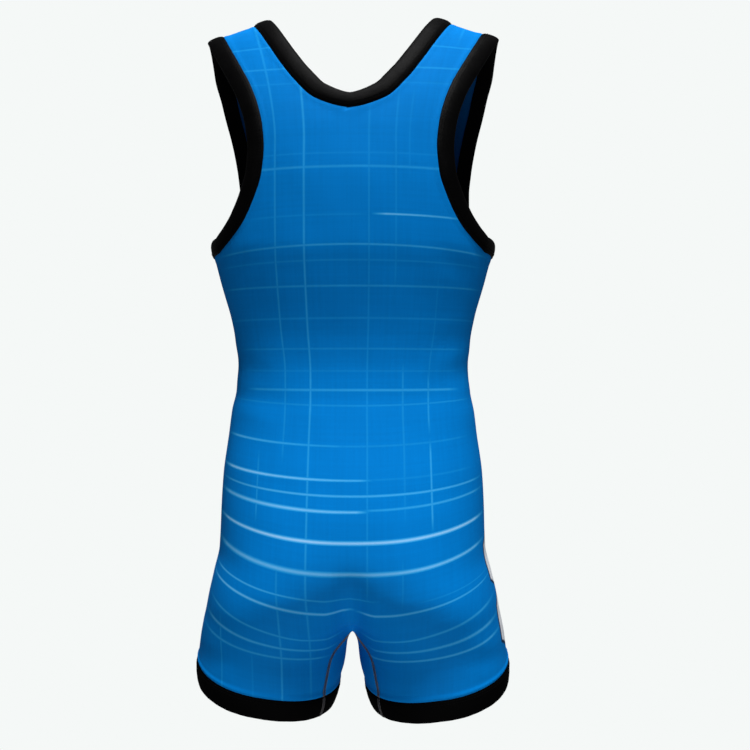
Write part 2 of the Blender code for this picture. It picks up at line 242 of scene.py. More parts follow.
BACK_UPRIGHT = (
    (79.6, 1.4, 1.4, 0.16, 0.24, 2, -366),
    (79.6, 1.4, 1.4, 0.24, 0.12, -334, -500),
    (48.2, 1.6, 1.6, 0.26, 0.30, -84, -456),
    (48.6, 1.6, 1.6, 0.30, 0.15, -424, -768),
    (-20.2, 1.3, 1.3, 0.13, 0.14, -112, -640),
    (-48.5, 1.4, 1.4, 0.11, 0.10, -98, -312),
    (-63.2, 1.5, 1.5, 0.20, 0.06, -388, -560),
    (-63, 1.2, 1.2, 0.08, 0.06, -95, -196),
    (-92, 1.4, 1.4, 0.14, 0.08, 5, -42),
    (-95.5, 1.2, 1.2, 0.05, 0.14, -290, -412),
    (-94.6, 1.5, 1.5, 0.22, 0.28, -396, -470),
    (-94.6, 1.5, 1.5, 0.34, 0.36, -472, -572),
    (109.5, 1.3, 1.3, 0.14, 0.26, -486, -566),
    (81.5, 1.6, 1.6, 0.12, 0.32, -596, -780),
    (155, 1.3, 1.3, 0.22, 0.16, -694, -790),
    (116, 1.2, 1.2, 0.12, 0.08, -712, -790),
    (-59.5, 1.2, 1.2, 0.12, 0.10, -590, -652),
)
FRONT_LEVEL = (
    (-44, 1.4, 1.4, 0.16, 0.14, 160, -160),
    (-72, 1.4, 1.4, 0.14, 0.18, 160, -160),
    (-118, 1.2, 1.2, 0.10, 0.10, 160, -160),
    (-186, 1.6, 1.6, 0.22, 0.24, 122, -124),
    (-214, 1.6, 1.2, 0.56, 0.18, 120, 10),
    (-251, 1.4, 1.4, 0.26, 0.22, 150, -150),
    (-272, 1.3, 1.3, 0.11, 0.12, 150, -150),
    (-330, 1.5, 1.5, 0.21, 0.24, 142, -142),
    (-372, 1.3, 1.3, 0.15, 0.15, 132, -134),
    (-417, 1.6, 1.6, 0.30, 0.22, 130, -132),
    (-452, 1.3, 1.3, 0.13, 0.17, 138, -138),
    (-489, 1.2, 2.1, 0.30, 0.78, 60, -146),
    (-506, 1.4, 1.4, 0.22, 0.22, 146, -146),
    (-531, 2.5, 1.4, 0.76, 0.40, 148, -60),
    (-566, 2.4, 2.4, 0.78, 0.82, 149, -149),
    (-598, 2.3, 3.4, 0.62, 0.56, 150, -150),
    (-631, 1.4, 1.4, 0.32, 0.20, 156, -156),
    (-662, 1.8, 2.0, 0.42, 0.46, 160, -160),
    (-694, 1.4, 1.4, 0.30, 0.26, 166, 12),
    (-694, 1.4, 1.4, 0.26, 0.30, -12, -166),
)
FRONT_UPRIGHT = (
    (88, 1.4, 1.4, 0.18, 0.19, 0, -330),
    (-82, 1.5, 1.5, 0.22, 0.22, 0, -500),
    (52, 1.5, 1.5, 0.26, 0.26, -140, -640),
    (18, 1.3, 1.3, 0.11, 0.11, -160, -420),
    (-38, 1.3, 1.3, 0.13, 0.16, -300, -660),
    (96, 1.3, 1.3, 0.26, 0.16, -470, -560),
    (-104, 1.3, 1.3, 0.18, 0.20, -590, -770),
    (70, 1.4, 1.4, 0.17, 0.20, -600, -770),
)

# Two plain pale lozenges, one over the other on the wearer's right hip and thigh: their heights, how
# far behind the side seam their middle lies, their half sizes, the slant of their cut corners, and
# their dark edge's two limits and its sharpness.
LOZENGES = (-614, -682)
LOZENGE_MIDDLE = -2.0
LOZENGE_HALF_WIDTH, LOZENGE_HALF_HEIGHT = 50.0, 31.0
LOZENGE_SLANT = (0.55, 0.7)
LOZENGE_OUTER, LOZENGE_INNER, LOZENGE_SHARPNESS = 1.05, 0.96, 20.0

# Stitches: the length and step of a running stitch and of a flat seam's two edges, half the width of
# the seam, the radius of each thread, and how far the two rows on a trim lie from its seam. A stitch
# is rings of points: each one's share of the length, its height in radii and its size.
STITCH_SIDES = 6
STITCH_RINGS = ((0.0, -0.6, 0.45), (0.2, 0.35, 1.0), (0.5, 0.75, 1.0), (0.8, 0.35, 1.0), (1.0, -0.6, 0.45))
RUN_STITCH, RUN_STEP, RUN_THREAD = 2.5, 3.4, 0.26
SEAM_STITCH, SEAM_STEP, SEAM_THREAD = 1.29, 1.5, 0.33
SEAM_HALF, SLANT_THREAD = 1.8, 0.264
TRIM_ROWS = (1.6, 4.4)

# The view: a camera at eye height behind the wearer's back, a little to their right.
PIXEL = 1.188
IMAGE = 750.0
CAMERA_DISTANCE = 900.0
CAMERA_HEIGHT = -367.0
CAMERA_TURN = 1.7
EYE_PIXEL_X, EYE_PIXEL_Y = 352.7, 342.0


def curve_through(stations, values, at):
    """A smooth curve through the values that doesn't overshoot them, read at the places asked for."""
    x = np.asarray(stations, float)
    y = np.asarray(values, float)
    if x[0] > x[-1]:
        x, y = x[::-1], y[::-1]
    step = np.diff(x)
    slope = np.diff(y) / step
    before, after = slope[:-1], slope[1:]
    product = np.maximum(before * after, 0)
    total = np.where(product > 0, before + after, 1.0)
    tangent = np.concatenate([slope[:1], 2 * product / total, slope[-1:]])
    at = np.clip(at, x[0], x[-1])
    i = np.clip(np.searchsorted(x, at, side="right") - 1, 0, len(step) - 1)
    u = (at - x[i]) / step[i]
    rise = y[i + 1] - y[i]
    start = tangent[i] * step[i]
    end = tangent[i + 1] * step[i]
    return y[i] + u * (start + u * ((3 * rise - 2 * start - end) + u * (start + end - 2 * rise)))


def smooth_step(value):
    value = np.clip(value, 0, 1)
    return value * value * (3 - 2 * value)


def unit(vectors):
    return vectors / np.linalg.norm(vectors, axis=-1, keepdims=True)


def way_along(points):
    """The distance along a line to each of its points."""
    return np.concatenate([[0.0], np.cumsum(np.linalg.norm(np.diff(points, axis=0), axis=1))])


def read_along(values, length, at):
    """What goes with a line's points, read at these distances along it."""
    return np.stack([np.interp(at, length, column) for column in values.T], axis=-1)


# The figure and the cut, as in the part's own solids.


def ridge(x):
    """Height of the line over the shoulder."""
    return curve_through(*zip(*RIDGE), x)


def figure(column, level):
    table = np.array(FIGURE, float)
    return curve_through(table[:, 0], table[:, FIGURE_COLUMNS.index(column)], level)


def lobe(level):
    """Middle and half width of the right-hand lobe, in the widened x that the cleft is measured in."""
    outer = np.hypot(figure("half_width", level), CLEFT)
    middle = figure("lobe", level)
    return middle, outer - middle


def rounded(value):
    return np.sign(value) * np.abs(value) ** ROUNDNESS


def unrounded(value):
    value = np.clip(value, -1, 1)
    return np.sign(value) * np.abs(value) ** (1 / ROUNDNESS)


def place(turn, level):
    """The point of the figure's surface, in millimetres, at these turns and levels."""
    turn, level = np.broadcast_arrays(turn, level)
    middle, half = lobe(level)
    wide = middle + half * rounded(np.cos(turn))
    x = np.sqrt(np.maximum(wide**2 - CLEFT**2, 0))
    sine = rounded(np.sin(turn))
    y = sine * np.where(sine > 0, figure("back", level), figure("front", level))
    roll = np.clip((level - ROLL_BOTTOM) / ROLL_LENGTH, 0, 1) * math.pi / 2
    z = np.where(level > ROLL_BOTTOM, ROLL_BOTTOM + (ridge(x) - ROLL_BOTTOM) * np.sin(roll), level)
    return np.stack([x, y * np.cos(roll), z], axis=-1)


def locate(x, z, side):
    """(turn, level) of the point of the back or the front at this x and height."""
    rise = np.clip((z - ROLL_BOTTOM) / (ridge(x) - ROLL_BOTTOM), 0, 1)
    level = np.where(z > ROLL_BOTTOM, ROLL_BOTTOM + ROLL_LENGTH * np.arcsin(rise) * 2 / math.pi, z)
    middle, half = lobe(level)
    turn = np.arccos(unrounded((np.hypot(x, CLEFT) - middle) / half))
    return np.stack([side * turn, level], axis=-1)


def outward(turn, level):
    """Unit normals of the figure's surface."""
    nudge_turn, nudge_level = 0.01, 0.5
    level = np.minimum(level, ROLL_TOP - nudge_level)
    round_it = place(turn + nudge_turn, level) - place(turn - nudge_turn, level)
    up = place(turn, level + nudge_level) - place(turn, level - nudge_level)
    return unit(np.cross(round_it, up))


def crotch_level():
    """The height at which the two lobes part."""
    low, high = SEAT_LEVEL - 100, SEAT_LEVEL
    for _ in range(50):
        level = (low + high) / 2
        middle, half = lobe(level)
        if middle - half > CLEFT:
            low = level
        else:
            high = level
    return high


CROTCH = crotch_level()


def evenly(spots, shares):
    """Points at these shares of a line's length; the line is a list of (turn, level)."""
    length = way_along(place(*spots.T))
    return read_along(spots, length, shares * length[-1])


def seam_line(points, side, closing=()):
    """A seam given by (x, height) points, as many (turn, level) spots; closing adds its last ones."""
    points = np.array(points, float)
    at = np.linspace(0, way_along(points)[-1], LINE_POINTS)
    if not closing:
        # The line goes on as its own mirror image, so that it crosses the centre level.
        points = np.vstack([points, points[-2] * (-1, 1)])
    length = way_along(points)
    x, z = (curve_through(length, column, at) for column in points.T)
    spots = locate(np.abs(x), z, side)
    return np.concatenate([spots, np.reshape(closing, (-1, 2))])


def centre_turn(level, side):
    """Turn at which the back or the front crosses the centre of the body."""
    middle, half = lobe(level)
    return side * np.arccos(unrounded((CLEFT - middle) / half))


def centre_line(top, bottom, side):
    level = np.linspace(top, bottom, LINE_POINTS)
    if bottom <= CROTCH:
        level = CROTCH + (top - CROTCH) * np.linspace(1, 0, LINE_POINTS) ** 2
    return np.stack([centre_turn(level, side), level], axis=-1)


def hem_level(turn):
    _, half = lobe(HEM)
    inner = np.maximum(-np.cos(turn), 0)
    return HEM + HEM_TILT * half * np.cos(turn) - HEM_DROP * inner**2


def inseam_line(side):
    table = np.array(INSEAM)
    drop = np.linspace(0, 1, LINE_POINTS)
    turn = np.radians(curve_through(table[:, 0], table[:, 1], drop * (CROTCH - HEM)))
    level = CROTCH + drop * (hem_level(turn[-1]) - CROTCH)
    return np.stack([turn if side == BACK else turn - 2 * math.pi, level], axis=-1)


def side_line(top, bottom):
    level = np.linspace(top, bottom, LINE_POINTS)
    return np.stack([0 * level, level], axis=-1)


def patch(inner, outer, top, bottom):
    """Rows of (turn, level) spots that fill the four-sided field between four lines."""
    down = np.linspace(0, 1, len(inner))[:, None, None]
    across = np.linspace(0, 1, len(top))[None, :, None]
    rows = top[None] * (1 - down) + bottom[None] * down
    rows = rows + (1 - across) * (inner[:, None] - rows[:, :1]) + across * (outer[:, None] - rows[:, -1:])
    return rows


def straight(start, end, count):
    return start + (end - start) * np.linspace(0, 1, count)[:, None]


def panel_spots(side):
    """Half a panel as a grid of (turn, level): from the centre and inseam out, and from the top down."""
    neck, arm = (BACK_NECK, BACK_ARM) if side == BACK else (FRONT_NECK, FRONT_ARM)
    neck_line = seam_line(neck, side)
    arm_line = seam_line(arm, side, closing=((0.0, UNDERARM),))
    chest = centre_line(neck_line[-1][1], WAIST_TOP, side)
    lines = (
        (neck_line, (0, 1), arm_line, (0, SHOULDER_ROW_END)),
        (chest, (0, 1), arm_line, (SHOULDER_ROW_END, 1)),
        (centre_line(WAIST_TOP, SEAT_LEVEL, side), (0, 1), side_line(UNDERARM, SIDE_AT_SEAT), (0, 1)),
        (centre_line(SEAT_LEVEL, CROTCH, side), (0, 1), side_line(SIDE_AT_SEAT, SIDE_AT_CROTCH), (0, 1)),
        (inseam_line(side), (0, 1), side_line(SIDE_AT_CROTCH, hem_level(0.0)), (0, 1)),
    )
    fields = []
    top = None
    for (inner, inner_span, outer, outer_span), count in zip(lines, ROWS):
        inner = evenly(inner, np.linspace(*inner_span, count + 1))
        outer = evenly(outer, np.linspace(*outer_span, count + 1))
        if top is None:
            top = straight(inner[0], outer[0], COLUMNS + 1)
        bottom = straight(inner[-1], outer[-1], COLUMNS + 1)
        if len(fields) == 1:
            bottom[:, 1] -= CHEST_SAG * np.sin(np.linspace(0, math.pi, COLUMNS + 1))
        if inner[-1][1] < CROTCH - 1:
            bottom[:, 1] = hem_level(bottom[:, 0])
        fields.append(patch(inner, outer, top, bottom))
        top = bottom
    return np.concatenate([fields[0]] + [field[1:] for field in fields[1:]])


def with_hand(spots, hand):
    """The spots as (turn, level, hand), where hand is -1 on the wearer's right."""
    return np.column_stack([spots, np.full(len(spots), hand)])


def neck_spots(back, front):
    """The neck seam, once round: left back, right back, right front, left front."""
    left_back = back[: NECK_ROW + 1, 0]
    left_front = front[: NECK_ROW + 1, 0]
    runs = ((left_back, 1), (left_back[-2::-1], -1), (left_front[1:], -1), (left_front[-2:0:-1], 1))
    return np.concatenate([with_hand(spots, hand) for spots, hand in runs])


def arm_spots(back, front):
    """The left armhole's seam, once round: down the back and up the front."""
    return with_hand(np.concatenate([back[: ARM_ROW + 1, -1], front[ARM_ROW - 1 : 0 : -1, -1]]), 1)


def hem_spots(back, front):
    """The left hem, once round from the inseam: over the back to the side, then over the front."""
    return with_hand(np.concatenate([back[-1], front[-1][-2:0:-1]]), 1)


def trim_frame(spots, inside):
    """Seam points, directions across the trim and normals, at each spot of a closed seam."""
    hand = np.where(spots[:, 2:3] < 0, [-1, 1, 1], [1, 1, 1])
    seam = place(spots[:, 0], spots[:, 1]) * hand
    normal = outward(spots[:, 0], spots[:, 1]) * hand
    ahead = unit(np.roll(seam, -1, axis=0) - seam)
    behind = unit(seam - np.roll(seam, 1, axis=0))
    across = unit(np.cross(ahead + behind, normal))
    if (across @ inside).sum() < 0:
        across = -across
    return seam, evened(across, seam), normal


def evened(vectors, seam):
    """The vectors with sharp turns along a closed seam spread over EVEN_OUT of it."""
    step = np.linalg.norm(seam - np.roll(seam, 1, axis=0), axis=1).mean()
    reach = max(1, int(round(EVEN_OUT / step)))
    total = np.zeros(vectors.shape)
    for k in range(-reach, reach + 1):
        total += np.roll(vectors, k, axis=0) * (1 - abs(k) / (reach + 1))
    return unit(total)


def neck_widths(seam):
    """The binding narrows to a shallow mitre at centre back."""
    near = np.clip(1 - np.abs(seam[:, 0]) / CENTRE_BACK_REACH, 0, 1) * (seam[:, 1] > 0)
    return BINDING_WIDTH - (BINDING_WIDTH - CENTRE_BACK_WIDTH) * near


def arm_widths(seam):
    low = np.clip(1 - (seam[:, 2] - UNDERARM) / UNDERARM_REACH, 0, 1)
    return BINDING_WIDTH - (BINDING_WIDTH - UNDERARM_WIDTH) * low


# Cloth


def fold_depth(points, folds):
    """How deep each point lies in the folds."""
    x, z = points[..., 0], points[..., 2]
    depth = np.zeros(x.shape)
    for fold in folds:
        row = dict(zip(FOLD_COLUMNS, fold))
        angle = math.radians(row["angle"])
        along = (x - row["x"]) * math.cos(angle) + (z - row["z"]) * math.sin(angle)
        aside = (z - row["z"]) * math.cos(angle) - (x - row["x"]) * math.sin(angle)
        valley = np.exp(-((aside / row["width"]) ** 2))
        ridges = 0.35 * np.exp(-(((np.abs(aside) / row["width"] - 1.6) * 1.4) ** 2))
        depth += row["depth"] * (valley - ridges) * np.exp(-1.5 * (along / row["length"]) ** 2)
    return depth


def unevenness(points):
    """The slight waviness of a stretched knit."""
    x, y, z = (points[..., k] for k in range(3))
    return (
        0.20 * np.sin(x / 17 + z / 41 + 1.3)
        + 0.16 * np.sin(z / 23 - x / 37 + y / 29)
        + 0.10 * np.sin(x / 9.5 - z / 13 + 0.7)
    )


def distance_from(grid, line):
    """How far each point is from the nearest of a line's points."""
    flat = grid.reshape(-1, 3)
    nearest = np.full(len(flat), 1e9)
    for point in line:
        nearest = np.minimum(nearest, ((flat - point) ** 2).sum(axis=1))
    return np.sqrt(nearest).reshape(grid.shape[:2])


def shaped(spots, side, hand):
    """A half panel's points with their folds, the roll over the leg band and the nip at the seams."""
    grid = place(spots[..., 0], spots[..., 1])
    normal = outward(spots[..., 0], spots[..., 1])
    drawn = grid * (hand, 1, 1)
    from_hem = distance_from(grid, grid[-1])
    from_trim = distance_from(grid, np.concatenate([grid[: NECK_ROW + 1, 0], grid[: ARM_ROW + 1, -1]]))
    from_seam = distance_from(grid, np.concatenate([grid[ARM_ROW:, -1], grid[LEG_ROW:, 0]]))
    calm = smooth_step(np.minimum(np.minimum(from_trim, from_hem), from_seam) / CALM)
    out = calm * (unevenness(drawn) - fold_depth(drawn, BACK_FOLDS if side == BACK else FRONT_FOLDS))
    near_hem = smooth_step(1 - from_hem / NIP_ENDS)
    out += ROLL_HEIGHT * np.exp(-(((from_hem - ROLL_FROM_HEM) / ROLL_HALF) ** 2))
    out += SWELL_HEIGHT * np.exp(-(((from_trim - SWELL_FROM_TRIM) / SWELL_HALF) ** 2))
    out -= NIP_DEPTH * np.exp(-((from_seam / NIP_HALF) ** 2)) * (1 - near_hem)
    grid = grid + out[..., None] * normal
    # The halves meet exactly on the centre plane.
    grid[NECK_ROW : LEG_ROW + 1, 0, 0] = 0.0
    return grid * (hand, 1, 1)


def print_layout(points, side):
    """Flat coordinates of the print, in millimetres, at points of the worn cloth."""
    x, z = points[..., 0], points[..., 2]
    share = np.abs(x) / LIFT_AT
    height = z.copy()
    far = np.clip((np.abs(x) - STRAIGHT_FROM) / STRAIGHT_RUN, 0, None)
    for _ in range(40):
        run = smooth_step((CURVED_ABOVE - height) / (CURVED_ABOVE - STRAIGHT_BELOW))
        lifted = curve_through(*zip(*LIFT), height) * (run * far + (1 - run) * share**2)
        height = (height + z - lifted) / 2
    flare = np.clip((z - FLARE_BELOW) / FLARE_LENGTH, 0, 2) ** 1.5
    width = (1 + STRAP_FLARE * flare) * curve_through(*zip(*NARROWING), z)
    return x / width, height if side == BACK else z


def plain_share(spots, side):
    """1 where a panel wraps round the inner thigh and has no print, 0 elsewhere."""
    inner = smooth_step((np.abs(spots[..., 0]) - PLAIN_TURN) / PLAIN_RUN)
    plain = np.where((spots[..., 1] < CROTCH + PLAIN_RISE) & (side == FRONT), inner, 0).reshape(-1)
    return np.concatenate([plain, plain])


def way_round(right, side):
    """The way round from the wearer's right side seam, for what is printed there."""
    width = np.linalg.norm(np.diff(right, axis=1), axis=-1)
    way = side * np.cumsum(np.pad(width, ((0, 0), (0, 1)))[:, ::-1], axis=1)[:, ::-1]
    way[:NECK_ROW] = side * FAR
    return np.concatenate([np.full(way.size, side * FAR), way.reshape(-1)])


def corners(table):
    """What a table holds at the four corners of each of its cells."""
    found = np.stack([table[:-1, :-1], table[:-1, 1:], table[1:, 1:], table[1:, :-1]], axis=2)
    return found.reshape(-1, *found.shape[2:])


def ring_table(rings, sides):
    """The numbers of points that stand in rings, with each ring's first one again at its end."""
    return np.pad(np.arange(rings * sides).reshape(rings, sides), ((0, 0), (0, 1)), mode="wrap")


def add_object(name, data):
    obj = bpy.data.objects.new(name, data)
    bpy.context.scene.collection.objects.link(obj)
    return obj


def add_mesh(name, points, faces, material):
    """A smooth piece, from points in millimetres."""
    mesh = bpy.data.meshes.new(name)
    mesh.from_pydata((points * MM).tolist(), [], faces)
    mesh.shade_smooth()
    mesh.materials.append(material)
    return add_object(name, mesh)


def add_uv(mesh, name, places):
    """A flat layer from places in millimetres, one for each corner of each face."""
    layer = mesh.uv_layers.new(name=name)
    layer.uv.foreach_set("vector", (places * MM).astype(np.float32).ravel())


def add_panel(name, side, spots, outside, inside):
    """One panel, left and right half in one piece, with its print and knit coordinates."""
    left, right = shaped(spots, side, 1), shaped(spots, side, -1)
    points = np.concatenate([left.reshape(-1, 3), right.reshape(-1, 3)])
    index = np.arange(len(points) // 2).reshape(spots.shape[:2])
    twin = index + index.size
    # On the centre line the right half uses the left half's own points.
    twin[NECK_ROW : LEG_ROW + 1, 0] = index[NECK_ROW : LEG_ROW + 1, 0]
    faces = np.concatenate([corners(index)[:, ::side], corners(twin)[:, ::-side]])
    used, faces = np.unique(faces, return_inverse=True)
    piece = add_mesh(name, points[used], faces.reshape(-1, 4).tolist(), outside)
    thickness = piece.modifiers.new("cloth", "SOLIDIFY")
    thickness.thickness = CLOTH * MM
    thickness.offset = 0
    thickness.material_offset = 1

    mesh = piece.data
    mesh.materials.append(inside)
    loops = np.zeros(len(mesh.loops), np.int32)
    mesh.loops.foreach_get("vertex_index", loops)
    across = np.broadcast_to(way_along(left[ARM_ROW]), index.shape).reshape(-1)
    knit = np.stack([np.concatenate([across, -across]), points[:, 2]], axis=-1)
    add_uv(mesh, "knit", knit[used][loops])
    add_uv(mesh, "print", np.stack(print_layout(points, side), axis=-1)[used][loops])
    for layer, values in (("plain", plain_share(spots, side)), ("from_side", way_round(right, side))):
        attribute = mesh.attributes.new(layer, "FLOAT", "POINT")
        attribute.data.foreach_set("value", values[used].astype(np.float32))
    return piece, left


# Bindings and bands


def binding_profile():
    """Section of the folded binding: (share of width, depth in from the seam, height off the cloth)."""
    crown = BINDING_CROWN
    return (
        (0.0, 1.6, 0.5), (0.0, 0.4, 1.3), (0.06, 0, 0.62 * crown), (0.16, 0, 0.84 * crown),
        (0.30, 0, 0.97 * crown), (0.45, 0, crown), (0.62, 0, 0.96 * crown), (0.77, 0, 0.84 * crown),
        (0.89, 0, 0.62 * crown), (0.97, 0, 0.34 * crown), (1.0, 0, 0.0), (0.97, 0, -0.30 * crown),
        (0.88, 0, -0.5 * crown), (0.7, 0, -0.62 * crown), (0.4, 0, -0.66 * crown),
        (0.12, 0, -0.56 * crown), (0.0, 1.0, -1.0), (0.0, 1.6, -0.5),
    )


def band_profile():
    crown = BAND_CROWN
    section = (
        (0.0, 1.4, 0.3), (0.0, 0.3, 0.7), (0.03, 0, 0.55 * crown), (0.09, 0, 0.8 * crown),
        (0.22, 0, 0.95 * crown), (0.5, 0, crown), (0.8, 0, 0.97 * crown), (0.93, 0, 0.85 * crown),
        (0.985, 0, 0.5 * crown), (1.0, 0, 0.0), (0.985, 0, -0.4 * crown), (0.92, 0, -0.65 * crown),
        (0.5, 0, -0.75 * crown), (0.06, 0, -0.7 * crown), (0.0, 0.8, -0.8), (0.0, 1.4, -0.3),
    )
    return tuple((share, depth, height - BAND_TUCK * share**2) for share, depth, height in section)


def trim_ripple(count, seed):
    """Small uneven pulls along a trim, as a factor on its height."""
    way = np.linspace(0, 2 * math.pi, count, endpoint=False)
    waves = ((0.05, 9, 1.0), (0.04, 23, 2.1), (0.025, 57, 0.6))
    return 1 + sum(size * np.sin(times * way + shift * seed) for size, times, shift in waves)


def add_trim(name, frame, widths, profile, seed, material):
    """A folded strip along a closed seam; its knit runs along and across it."""
    seam, across, normal = frame
    ripple = trim_ripple(len(seam), seed)[:, None]
    lines = [
        seam + across * (share * widths[:, None] - depth) + normal * height * ripple
        for share, depth, height in profile
    ]
    verts = np.stack(lines, axis=1)
    faces = corners(np.pad(ring_table(*verts.shape[:2]), ((0, 1), (0, 0)), mode="wrap"))
    way = way_along(np.concatenate([seam, seam[:1]]))
    girth = way_along(verts[0])
    girth = np.append(girth, girth[-1] + 1.0)
    knit = corners(np.stack(np.meshgrid(way, girth, indexing="ij"), axis=-1))
    verts = verts.reshape(-1, 3)
    if signed_volume(verts, faces) < 0:
        faces, knit = faces[:, ::-1], knit[:, ::-1]
    piece = add_mesh(name, verts, faces.tolist(), material)
    add_uv(piece.data, "knit", knit)
    return piece


def signed_volume(verts, faces):
    a, b, c, d = (verts[faces[:, k]] for k in range(4))
    return (np.cross(a, b) * c).sum() + (np.cross(a, c) * d).sum()


# Stitches


def stitch_points(start, end, lift, radius):
    """One stitch's rings: a short thread that rises out of the cloth and goes back in."""
    axis = end - start
    aside = unit(np.cross(lift, unit(axis)))
    turn = 2 * math.pi * np.arange(STITCH_SIDES)[:, None] / STITCH_SIDES
    ring = radius * (aside * np.cos(turn) + lift * np.sin(turn))
    rings = [
        start + axis * share + lift * radius * height + size * ring
        for share, height, size in STITCH_RINGS
    ]
    return np.concatenate(rings)


def stitch_faces():
    """The faces between a stitch's rings, and its two ends."""
    table = ring_table(len(STITCH_RINGS), STITCH_SIDES)
    return [*corners(table).tolist(), table[0, -2::-1].tolist(), table[-1, :-1].tolist()]


def add_stitches(name, stitches, material):
    """Many stitches as one mesh; each is (start, end, lift, radius) in millimetres."""
    points = np.concatenate([stitch_points(*stitch) for stitch in stitches])
    count = len(points) // len(stitches)
    one = stitch_faces()
    faces = [[first + k for k in face] for first in range(0, len(points), count) for face in one]
    return add_mesh(name, points, faces, material)


def at_even_steps(step, points, *others):
    """The line's points, and what goes with them, read again at even steps of its length."""
    length = way_along(points)
    at = np.linspace(0, length[-1], max(2, int(round(length[-1] / step))) + 1)
    return [read_along(values, length, at) for values in (points, *others)]


def run_of_stitches(line, lift):
    """A single row of running stitches along a line."""
    line, lift = at_even_steps(RUN_STEP, line, lift)
    ends = line[:-1] + np.diff(line, axis=0) * RUN_STITCH / RUN_STEP
    return [(start, end, up, RUN_THREAD) for start, end, up in zip(line, ends, unit(lift))]


def flatlock(line, lift, across):
    """A flat seam: slanted threads from edge to edge over the join, with a needle row each side."""
    line, lift, across = at_even_steps(SEAM_STEP, line, lift, across)
    aside = unit(across) * SEAM_HALF
    edges = line - aside, line + aside
    ahead = np.diff(line, axis=0) * SEAM_STITCH / SEAM_STEP
    found = []
    for i, up in enumerate(unit(lift)[:-1]):
        found.append((edges[0][i], edges[1][i + 1], up, SLANT_THREAD))
        found += [(edge[i], edge[i] + ahead[i], up, SEAM_THREAD) for edge in edges]
    return found


# Materials


class Graph:
    """Short ways to add nodes to one material."""

    def __init__(self, name):
        self.material = bpy.data.materials.new(name)
        self.material.use_nodes = True
        self.nodes = self.material.node_tree.nodes
        self.links = self.material.node_tree.links
        self.shader = self.nodes["Principled BSDF"]

    def put(self, socket, value):
        if isinstance(value, bpy.types.NodeSocket):
            self.links.new(value, socket)
        else:
            socket.default_value = value

    def set(self, name, value):
        """Sets one of the surface's own inputs."""
        self.put(self.shader.inputs[name], value)

    def node(self, kind, **inputs):
        node = self.nodes.new("ShaderNode" + kind)
        for name, value in inputs.items():
            self.put(node.inputs[name], value)
        return node

    def maths(self, operation, *values, clamp=False):
        node = self.node("Math")
        node.operation = operation
        node.use_clamp = clamp
        for socket, value in zip(node.inputs, values):
            self.put(socket, value)
        return node.outputs[0]

    def scaled(self, value, factor, offset=0.0, clamp=False):
        return self.maths("MULTIPLY_ADD", value, factor, offset, clamp=clamp)

    def noise(self, vector, scale, detail=2.0, roughness=0.5):
        node = self.node("TexNoise", Vector=vector, Scale=scale, Detail=detail, Roughness=roughness)
        return node.outputs["Fac"]

    def stretched(self, vector, factors):
        node = self.node("VectorMath")
        node.operation = "MULTIPLY"
        self.put(node.inputs[0], vector)
        node.inputs[1].default_value = factors
        return node.outputs[0]

    def flat(self, layer):
        node = self.node("UVMap")
        node.uv_map = layer
        return node.outputs["UV"]

    def parts(self, vector):
        return self.node("SeparateXYZ", Vector=vector).outputs

    def mix(self, share, first, second):
        node = self.node("Mix")
        node.data_type = "RGBA"
        self.put(node.inputs["Factor"], share)
        self.put(node.inputs["A"], first)
        self.put(node.inputs["B"], second)
        return node.outputs["Result"]

    def places(self, layer):
        """A flat layer's places, across and up, in millimetres."""
        across, up, _ = self.parts(self.stretched(self.flat(layer), (1 / MM, 1 / MM, 0.0)))
        return across, up

    def attribute(self, name):
        node = self.node("Attribute")
        node.attribute_name = name
        return node.outputs["Fac"]

    def bump(self, height, distance):
        self.set("Normal", self.node("Bump", Height=height, Distance=distance).outputs["Normal"])


def changing(graph, along, row, what):
    """A value that changes evenly from a line's start to its end."""
    first, last = row[what + "_start"], row[what + "_end"]
    rate = (last - first) / (row["end"] - row["start"])
    return graph.scaled(along, rate, first - rate * row["start"])


def printed_line(graph, along, aside, line):
    """How strongly one line of the print shows, from 0 to 1."""
    row = dict(zip(LINE_COLUMNS, map(float, line)))
    off = graph.maths("ABSOLUTE", graph.maths("SUBTRACT", aside, row["place"]))
    share = graph.maths("DIVIDE", off, changing(graph, along, row, "half"))
    shape = graph.maths("SUBTRACT", 1.2, share, clamp=True)
    strength = changing(graph, along, row, "strength")
    from_start = graph.scaled(along, -1.0 / FADE, row["start"] / FADE, clamp=True)
    from_end = graph.scaled(along, 1.0 / FADE, -row["end"] / FADE, clamp=True)
    ends = graph.maths("MULTIPLY", from_start, from_end)
    return graph.maths("MULTIPLY", graph.maths("MULTIPLY", shape, strength), ends)


def knit_height(graph, fine, wale, course):
    """Height of a fine knit: columns of loops, each loop a soft bead."""
    u, v, _ = graph.parts(fine)
    column = graph.maths("SINE", graph.scaled(u, 2 * math.pi / wale))
    row = graph.maths("SINE", graph.scaled(v, 2 * math.pi / course))
    return graph.scaled(graph.maths("MULTIPLY", column, row), 0.35, graph.scaled(column, 0.3, 0.5))


BLUE = (0.0, 0.212, 0.66, 1.0)
DEEP_BLUE = (0.0, 0.178, 0.565, 1.0)
# The inner face: a slightly duller blue, darkened much further as painted shade for the inside of the
# garment.
SHADED_INNER_BLUE = (0.0, 0.06, 0.2, 1.0)
FAINT_INK = (0.03, 0.56, 1.0, 1.0)
FULL_INK = (0.40, 0.66, 1.0, 1.0)
WHITE = (0.80, 0.83, 0.88, 1.0)
DARK_EDGE = (0.01, 0.03, 0.08, 1.0)


def knit_finish(graph, depth):
    """The dull surface of a fine knit."""
    graph.set("Roughness", 0.7)
    graph.set("Specular IOR Level", 0.03)
    knit = graph.scaled(knit_height(graph, graph.flat("knit"), 0.9 * MM, 0.75 * MM), 0.6)
    coarse = graph.scaled(graph.noise(graph.flat("knit"), 240.0, 3.0), 0.5)
    graph.bump(graph.maths("ADD", knit, coarse), depth * MM)


